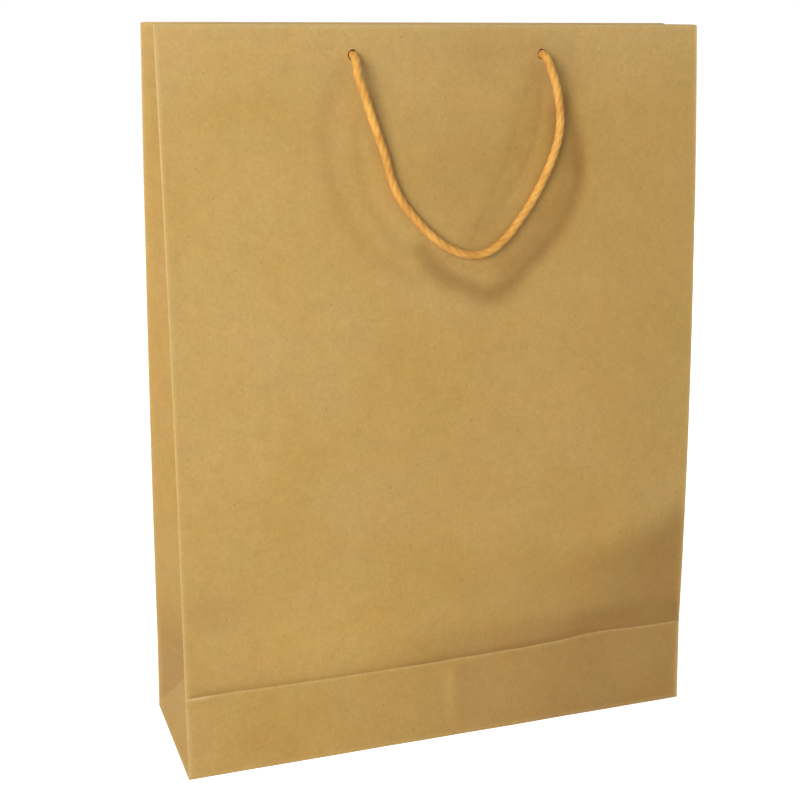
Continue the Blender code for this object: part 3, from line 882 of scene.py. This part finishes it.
class Shading:
    """The node tree of a material or a world, with short words for adding and joining its nodes."""

    def __init__(self, owner):
        self.owner = owner
        owner.use_nodes = True
        self.tree = owner.node_tree

    def feed(self, socket, value):
        if isinstance(value, bpy.types.NodeSocket):
            self.tree.links.new(value, socket)
        elif value is not None:
            socket.default_value = value

    def add(self, kind, inputs=(), **settings):
        node = self.tree.nodes.new(kind)
        for key, value in settings.items():
            setattr(node, key, value)
        for key, value in dict(inputs).items():
            self.feed(node.inputs[key], value)
        return node

    def coords(self, scale=(1, 1, 1), turn=(0, 0, 0)):
        source = self.add("ShaderNodeTexCoord").outputs["Object"]
        mapping = self.add("ShaderNodeMapping", {"Vector": source, "Scale": scale, "Rotation": turn})
        return mapping.outputs["Vector"]

    def noise(self, scale, detail, roughness, vector=None):
        vector = vector or self.coords()
        inputs = {"Vector": vector, "Scale": scale, "Detail": detail, "Roughness": roughness}
        return self.add("ShaderNodeTexNoise", inputs).outputs["Fac"]

    def math(self, operation, first, second=None, third=None, clamp=False):
        node = self.add("ShaderNodeMath", operation=operation, use_clamp=clamp)
        for socket, value in zip(node.inputs, (first, second, third)):
            self.feed(socket, value)
        return node.outputs[0]

    def times(self, first, second, added=None):
        return self.math("MULTIPLY" if added is None else "MULTIPLY_ADD", first, second, added)

    def span(self, value, low, high, to_low=0.0, to_high=1.0):
        """Maps a value from one range to another and holds it there."""
        inputs = {"Value": value, "From Min": low, "From Max": high, "To Min": to_low, "To Max": to_high}
        return self.add("ShaderNodeMapRange", inputs).outputs["Result"]

    def mix(self, share, first, second, blend="MIX"):
        node = self.add("ShaderNodeMix", data_type="RGBA", blend_type=blend)
        self.feed(node.inputs["Factor"], share)
        self.feed(node.inputs["A"], first if isinstance(first, bpy.types.NodeSocket) else (*first, 1))
        self.feed(node.inputs["B"], second if isinstance(second, bpy.types.NodeSocket) else (*second, 1))
        return node.outputs["Result"]

    def attribute(self, name):
        return self.add("ShaderNodeAttribute", attribute_name=name).outputs["Fac"]

    def surface(self, inputs):
        for key, value in inputs.items():
            self.feed(self.tree.nodes["Principled BSDF"].inputs[key], value)

    def specks(self, scale, radius):
        """1 inside small round specks and 0 elsewhere."""
        inputs = {"Vector": self.coords(), "Scale": scale}
        cells = self.add("ShaderNodeTexVoronoi", inputs, feature="F1")
        return self.span(cells.outputs["Distance"], radius * scale, radius * scale * 0.6)

    def bump(self, height, strength):
        """Heights are in metres."""
        node = self.add("ShaderNodeBump", {"Height": height, "Distance": 1.0, "Strength": strength})
        return node.outputs["Normal"]


def fibres(shade, scale):
    """Long thin fibres lying three ways across the paper."""
    total = None
    for turn, stretch in ((0.25, (1, 1, 0.22)), (1.30, (1, 1, 0.25)), (-0.85, (1, 1, 0.25))):
        lines = shade.noise(scale, 3.0, 0.6, shade.coords(stretch, (0, turn, 0)))
        total = lines if total is None else shade.math("ADD", total, lines)
    return shade.times(total, 1 / 3)


def kraft_paper(finish):
    shade = Shading(bpy.data.materials.new("kraft_paper"))
    up = shade.add("ShaderNodeSeparateXYZ", {"Vector": shade.coords()}).outputs["Z"]
    near_top = shade.span(up, HEIGHT - 0.045, HEIGHT, 0.0, 0.55)
    patches = shade.math("ADD", shade.span(shade.noise(13, 3, 0.6), 0.3, 0.72, 0.1, 0.7), near_top)
    mottle, cloud, grain = shade.noise(120, 4, 0.6), shade.noise(480, 3, 0.6), shade.noise(3800, 2, 0.5)
    fibre = fibres(shade, 1500)
    level = 1.0
    for texture, low, high, swing in (
        (mottle, 0.3, 0.7, 0.045),
        (fibre, 0.38, 0.62, 0.045),
        (cloud, 0.3, 0.7, 0.04),
        (grain, 0.3, 0.7, 0.02),
    ):
        level = shade.math("ADD", shade.span(texture, low, high, -swing, swing), level)
    channels = {"Red": level, "Green": level, "Blue": level}
    bright = shade.add("ShaderNodeCombineColor", channels).outputs["Color"]
    colour = shade.mix(patches, finish.kraft, finish.kraft_light)
    colour = shade.mix(1.0, colour, bright, "MULTIPLY")
    rosy = shade.span(shade.noise(42, 3, 0.5), 0.35, 0.70, 0.1, 0.7)
    # Painted shade from the dark attribute, and painted light where that attribute is below 0
    dark = shade.attribute("dark")
    light = shade.math("MULTIPLY", dark, -1.0, clamp=True)
    for share, tone in ((rosy, (1.04, 0.95, 0.93)), (dark, (0.66, 0.58, 0.53)), (light, (1.30, 1.32, 1.38))):
        colour = shade.mix(share, colour, tone, "MULTIPLY")
    # Fold and score lines in the worn colour: wear and painted highlight
    rubbed_and_highlit = shade.span(shade.noise(420, 3, 0.6), 0.25, 0.6, 0.45, 1.0)
    worn_and_highlit = shade.times(shade.attribute("wear_and_highlight"), rubbed_and_highlit)
    colour = shade.mix(shade.times(worn_and_highlit, 0.75), colour, finish.worn_and_highlit)
    for scale, radius, strength in ((78, 0.00055, 0.62), (290, 0.00022, 0.34)):
        specks = shade.times(shade.specks(scale, radius), strength)
        colour = shade.mix(specks, colour, finish.fleck)
    rough = shade.math("ADD", shade.span(mottle, 0.3, 0.7, -0.06, 0.06), finish.roughness)
    rough = shade.times(worn_and_highlit, 0.12, rough)
    height = shade.times(fibre, 0.00004)
    for texture, deep in ((grain, 0.000012), (mottle, 0.00008), (shade.noise(42, 2, 0.5), 0.00028)):
        height = shade.times(texture, deep, height)
    normal = shade.bump(height, 0.8)
    shade.surface({"Base Color": colour, "Roughness": rough, "Specular IOR Level": 0.25, "Normal": normal})
    return shade.owner


def flecked_card(name, colour, pale):
    """Grey or brown board made from waste paper, with light and dark flecks."""
    shade = Shading(bpy.data.materials.new(name))
    mottle = shade.noise(90, 4, 0.6)
    fibre = fibres(shade, 700)
    face = shade.mix(shade.span(mottle, 0.3, 0.7), [c * 0.88 for c in colour], colour)
    face = shade.mix(shade.span(fibre, 0.4, 0.62, 0, 0.5), face, pale)
    face = shade.mix(shade.times(shade.specks(240, 0.0003), 0.5), face, [c * 0.3 for c in colour])
    height = shade.times(fibre, 0.0001, shade.times(mottle, 0.00012))
    rough = shade.span(mottle, 0.3, 0.7, 0.78, 0.92)
    shade.surface({"Base Color": face, "Roughness": rough, "Normal": shade.bump(height, 0.8)})
    return shade.owner


def orange_rope(finish, sizes):
    """Twisted cord: bright crests, and painted shade between the strands and between the yarns across each
    strand.
    """
    shade = Shading(bpy.data.materials.new("orange_rope"))
    rope_map = shade.add("ShaderNodeUVMap", uv_map="rope").outputs["UV"]
    parts = shade.add("ShaderNodeSeparateXYZ", {"Vector": rope_map})
    around, along = parts.outputs["X"], shade.times(parts.outputs["Y"], 0.1)
    crest = shade.math("COSINE", shade.times(around, sizes.strands * math.pi))
    crest = shade.span(shade.math("ABSOLUTE", crest), 0.0, 0.6, 0.50, 1.0)
    yarn_step, yarn_turn = 0.0016, 66.0  # along the cord, and once round it
    phase = shade.times(along, 2 * math.pi / yarn_step, shade.times(around, yarn_turn))
    yarn = shade.span(shade.math("SINE", phase), -1, 1)
    fuzz = shade.noise(1500, 3, 0.6)
    blotch = shade.noise(75, 3, 0.5)
    # Painted shade in the valleys between the strands and in the grooves between the yarns
    colour = shade.mix(crest, finish.cord_valley_shade, finish.cord)
    lines = shade.times(shade.math("SUBTRACT", 1.0, yarn), 0.14)
    colour = shade.mix(lines, colour, finish.cord_valley_shade)
    pale = shade.times(shade.span(shade.math("ADD", fuzz, blotch), 0.9, 1.35), 0.45)
    colour = shade.mix(pale, colour, [min(1.0, c * 1.1 + 0.06) for c in finish.cord])
    stained = shade.span(blotch, 0.38, 0.62, 0.85, 0.0)
    colour = shade.mix(stained, colour, (0.78, 0.70, 0.62), "MULTIPLY")
    rough = shade.span(fuzz, 0.3, 0.7, 0.5, 0.68)
    height = shade.times(fuzz, 0.00006, shade.times(yarn, 0.00011))
    normal = shade.bump(height, 0.9)
    shade.surface({"Base Color": colour, "Roughness": rough, "Sheen Weight": 0.12, "Normal": normal})
    return shade.owner


# Stage


def add_lamp(name, place, power, size):
    """A round lamp that shines at the middle of the bag."""
    lamp = bpy.data.lights.new(name, "AREA")
    lamp.shape = "DISK"
    lamp.size = size
    lamp.energy = power
    made = bpy.data.objects.new(name, lamp)
    made.location = place
    made.rotation_euler = (Vector((0, 0, HEIGHT / 2)) - Vector(place)).to_track_quat("-Z", "Y").to_euler()
    bpy.context.scene.collection.objects.link(made)


def seen_directly(shade):
    """1 for what the camera sees, also in gloss and through glass."""
    path = shade.add("ShaderNodeLightPath").outputs
    seen = shade.math("MAXIMUM", path["Is Camera Ray"], path["Is Glossy Ray"])
    return shade.math("MAXIMUM", seen, path["Is Transmission Ray"])


def white_world(sky):
    """An even light from all round, which the camera sees as white."""
    shade = Shading(bpy.data.worlds.new("white_world"))
    shade.tree.nodes.clear()
    chosen = shade.add("ShaderNodeMixShader", {"Fac": seen_directly(shade)})
    for place, strength in ((1, sky), (2, 1)):
        plain = shade.add("ShaderNodeBackground", {"Color": (1, 1, 1, 1), "Strength": strength})
        shade.feed(chosen.inputs[place], plain.outputs["Background"])
    shade.add("ShaderNodeOutputWorld", {"Surface": chosen.outputs["Shader"]})
    bpy.context.scene.world = shade.owner


def white_floor(glow):
    """A large pale floor that reads as white to the camera and keeps the bag's shadow."""
    bm = bmesh.new()
    bmesh.ops.create_grid(bm, x_segments=1, y_segments=1, size=40)
    floor = add_object("floor", bm)
    shade = Shading(bpy.data.materials.new("white_floor"))
    shade.surface({"Base Color": (0.92, 0.92, 0.92, 1), "Roughness": 1, "Specular IOR Level": 0})
    strength = shade.times(seen_directly(shade), glow)
    shade.surface({"Emission Color": (1, 1, 1, 1), "Emission Strength": strength})
    floor.data.materials.append(shade.owner)


def add_camera(stage):
    turn_right, pitch_down, roll = stage.camera_turn
    scene = bpy.context.scene
    camera = bpy.data.objects.new("camera", bpy.data.cameras.new("camera"))
    camera.data.sensor_width = 36
    camera.data.lens = stage.lens
    camera.data.clip_start = 0.01
    turn = Matrix.Rotation(-turn_right, 4, "Z") @ Matrix.Rotation(math.pi / 2 - pitch_down, 4, "X")
    camera.matrix_world = Matrix.Translation(stage.camera_place) @ turn @ Matrix.Rotation(roll, 4, "Z")
    scene.collection.objects.link(camera)
    scene.camera = camera


# Operators


class CARRIERBAG_OT_stage(bpy.types.Operator):
    """Camera, lamps, white world and floor"""

    bl_idname = "carrier_bag.stage"
    bl_label = "Stage"

    def execute(self, context):
        stage = context.scene.carrier_stage
        add_camera(stage)
        add_lamp("key_lamp", (-1.15, -1.05, 0.80), stage.key_power, 0.9)
        add_lamp("fill_lamp", (1.2, -1.2, 0.6), stage.fill_power, 0.9)
        add_lamp("back_lamp", (1.25, 1.35, 0.90), stage.back_power, 1.3)
        white_world(stage.sky)
        white_floor(stage.floor_glow)
        context.scene.view_settings.view_transform = "Standard"
        return {"FINISHED"}


class CARRIERBAG_OT_handle(bpy.types.Operator):
    """The rope handle at the front, with a knot inside the bag at each end"""

    bl_idname = "carrier_bag.handle"
    bl_label = "Rope handle"

    def execute(self, context):
        sizes, finish = context.scene.carrier_sizes, context.scene.carrier_finish
        shape = BagShape(sizes)
        material = orange_rope(finish, sizes)
        route = []
        for across, below, out in HANDLE_ROUTE:
            x = sizes.handle_shift + across
            z = HEIGHT - sizes.hole_drop - below
            route.append((x, -shape.panel_face(x, z) - out, z))
        line, run = smooth_line(route, 0.0005)
        rope = twisted_rope("rope_handle", line, run, sizes, 0.0)
        finish_piece(rope, material, "handle_cord", 60)
        knots = [
            self.knot("left_rope_knot", "left_knot", shape, 0, 0.6, material),
            self.knot("right_rope_knot", "right_knot", shape, -1, 1.9, material),
        ]
        return {"FINISHED"}

    def knot(self, name, node, shape, end, start_turn, material):
        sizes = shape.sizes
        across, below, out = HANDLE_ROUTE[end]
        z = HEIGHT - sizes.hole_drop - below
        start = Vector((sizes.handle_shift + across, sizes.gap - shape.half_depth(z) - out, z))
        size = sizes.cord_diameter * sizes.knot_slack
        line, run = smooth_line([start + size * Vector(place) for place in KNOT_ROUTE], 0.0006)
        return finish_piece(twisted_rope(name, line, run, sizes, start_turn), material, node, 60)


class CARRIERBAG_OT_sheet(bpy.types.Operator):
    """The folded kraft sheet with its bottom flaps and glued seam"""

    bl_idname = "carrier_bag.sheet"
    bl_label = "Folded sheet"

    def execute(self, context):
        shape = BagShape(context.scene.carrier_sizes)
        material = kraft_paper(context.scene.carrier_finish)
        finish_piece(folded_sheet(shape), material, "bag_body", 50)
        for name, front in (("front_base_flap", True), ("rear_base_flap", False)):
            finish_piece(base_flap(name, shape, front), material, "bag_body", 30)
        finish_piece(seam_tab(shape), material, "bag_body", 30)
        return {"FINISHED"}


class CARRIERBAG_OT_card(bpy.types.Operator):
    """Finishes of the two card strips and the base board"""

    bl_idname = "carrier_bag.card"
    bl_label = "Card and board"

    def execute(self, context):
        finish = context.scene.carrier_finish
        card = flecked_card("grey_card", finish.card, (0.60, 0.56, 0.48))
        board = flecked_card("brown_board", finish.board, (0.52, 0.40, 0.25))
        for node, material in (("front_top_strip", card), ("back_top_strip", card), ("base_board", board)):
            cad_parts[node].material_slots[0].material = material
        return {"FINISHED"}


class CARRIERBAG_PT_tools(bpy.types.Panel):
    bl_label = "Carrier Bag"
    bl_space_type = "VIEW_3D"
    bl_region_type = "UI"
    bl_category = "Carrier Bag"

    def draw(self, context):
        column = self.layout.column()
        for operator in (CARRIERBAG_OT_stage, CARRIERBAG_OT_handle, CARRIERBAG_OT_sheet, CARRIERBAG_OT_card):
            column.operator(operator.bl_idname)
        for group in (context.scene.carrier_sizes, context.scene.carrier_finish, context.scene.carrier_stage):
            for key in group.__annotations__:
                column.prop(group, key)


CLASSES = (
    BagSizes,
    BagFinish,
    BagStage,
    CARRIERBAG_OT_stage,
    CARRIERBAG_OT_handle,
    CARRIERBAG_OT_sheet,
    CARRIERBAG_OT_card,
    CARRIERBAG_PT_tools,
)


def register():
    for made in CLASSES:
        bpy.utils.register_class(made)
    bpy.types.Scene.carrier_sizes = PointerProperty(type=BagSizes)
    bpy.types.Scene.carrier_finish = PointerProperty(type=BagFinish)
    bpy.types.Scene.carrier_stage = PointerProperty(type=BagStage)


def unregister():
    del bpy.types.Scene.carrier_stage
    del bpy.types.Scene.carrier_finish
    del bpy.types.Scene.carrier_sizes
    for made in reversed(CLASSES):
        bpy.utils.unregister_class(made)


def main():
    register()
    bpy.ops.carrier_bag.stage()
    bpy.ops.carrier_bag.handle()
    bpy.ops.carrier_bag.sheet()
    bpy.ops.carrier_bag.card()


if __name__ == "__main__":
    main()
